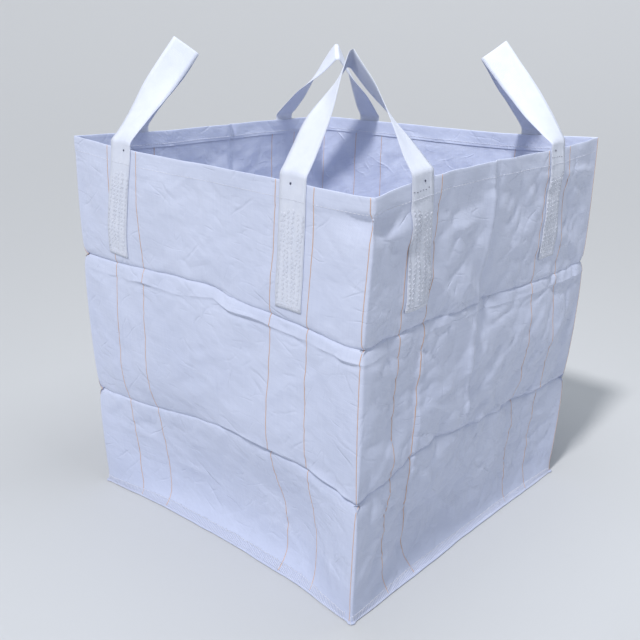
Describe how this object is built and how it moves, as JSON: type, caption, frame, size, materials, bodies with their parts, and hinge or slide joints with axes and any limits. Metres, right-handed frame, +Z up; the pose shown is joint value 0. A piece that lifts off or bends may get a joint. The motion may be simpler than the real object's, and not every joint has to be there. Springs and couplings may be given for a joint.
{
  "type": "bulk bag",
  "caption": "Square open-top woven bulk bag with a flat base and four cross-corner webbing lifting loops.",
  "frame": {"origin": "middle of the base's underside, where the bag stands on the floor", "axes": "+Z up; the front wall faces -Y and the right wall faces +X"},
  "size_m": [0.94, 0.94, 1.1859],
  "materials": {
    "woven_cloth": "satin",
    "base_cloth": "satin",
    "webbing": "matte",
    "sewing_thread": "satin",
    "marker_yarn": "satin",
    "lock_thread": "matte"
  },
  "bodies": {
    "bag": {"wall_front": "woven_cloth", "base_seam_front": "woven_cloth", "base_stitching_front": "sewing_thread", "marker_yarns_front": "marker_yarn", "hem_stitching_front": "sewing_thread", "wall_right": "woven_cloth", "base_seam_right": "woven_cloth", "base_stitching_right": "sewing_thread", "marker_yarns_right": "marker_yarn", "hem_stitching_right": "sewing_thread", "wall_back": "woven_cloth", "base_seam_back": "woven_cloth", "base_stitching_back": "sewing_thread", "marker_yarns_back": "marker_yarn", "hem_stitching_back": "sewing_thread", "wall_left": "woven_cloth", "base_seam_left": "woven_cloth", "base_stitching_left": "sewing_thread", "marker_yarns_left": "marker_yarn", "hem_stitching_left": "sewing_thread", "base_panel": "base_cloth", "lock_knots": "lock_thread", "corner_yarn_front_right": "marker_yarn", "loop_front_right_leg_front": "webbing", "loop_front_right_root_front": "webbing", "loop_front_right_stitching_front": "sewing_thread", "loop_front_right_leg_right": "webbing", "loop_front_right_root_right": "webbing", "loop_front_right_stitching_right": "sewing_thread", "corner_yarn_back_right": "marker_yarn", "loop_back_right_leg_right": "webbing", "loop_back_right_root_right": "webbing", "loop_back_right_stitching_right": "sewing_thread", "loop_back_right_leg_back": "webbing", "loop_back_right_root_back": "webbing", "loop_back_right_stitching_back": "sewing_thread", "corner_yarn_back_left": "marker_yarn", "loop_back_left_leg_back": "webbing", "loop_back_left_root_back": "webbing", "loop_back_left_stitching_back": "sewing_thread", "loop_back_left_leg_left": "webbing", "loop_back_left_root_left": "webbing", "loop_back_left_stitching_left": "sewing_thread", "corner_yarn_front_left": "marker_yarn", "loop_front_left_leg_left": "webbing", "loop_front_left_root_left": "webbing", "loop_front_left_stitching_left": "sewing_thread", "loop_front_left_leg_front": "webbing", "loop_front_left_root_front": "webbing", "loop_front_left_stitching_front": "sewing_thread"},
    "front_right_loop": {"loop_front_right": "webbing"},
    "back_right_loop": {"loop_back_right": "webbing"},
    "back_left_loop": {"loop_back_left": "webbing"},
    "front_left_loop": {"loop_front_left": "webbing"}
  },
  "joints": [
    {"name": "front_right_loop_swing", "type": "hinge", "parent": "bag", "child": "front_right_loop", "pos_m": [0.3605, -0.3605, 0.98], "axis": [0.7071, 0.7071, 0], "range_deg": [-80, 130], "deforming": ["loop_front_right_root_front", "loop_front_right_root_right"]},
    {"name": "back_right_loop_swing", "type": "hinge", "parent": "bag", "child": "back_right_loop", "pos_m": [0.3605, 0.3605, 0.98], "axis": [-0.7071, 0.7071, 0], "range_deg": [-80, 130], "deforming": ["loop_back_right_root_right", "loop_back_right_root_back"]},
    {"name": "back_left_loop_swing", "type": "hinge", "parent": "bag", "child": "back_left_loop", "pos_m": [-0.3605, 0.3605, 0.98], "axis": [-0.7071, -0.7071, 0], "range_deg": [-80, 130], "deforming": ["loop_back_left_root_back", "loop_back_left_root_left"]},
    {"name": "front_left_loop_swing", "type": "hinge", "parent": "bag", "child": "front_left_loop", "pos_m": [-0.3605, -0.3605, 0.98], "axis": [0.7071, -0.7071, 0], "range_deg": [-80, 130], "deforming": ["loop_front_left_root_left", "loop_front_left_root_front"]}
  ]
}
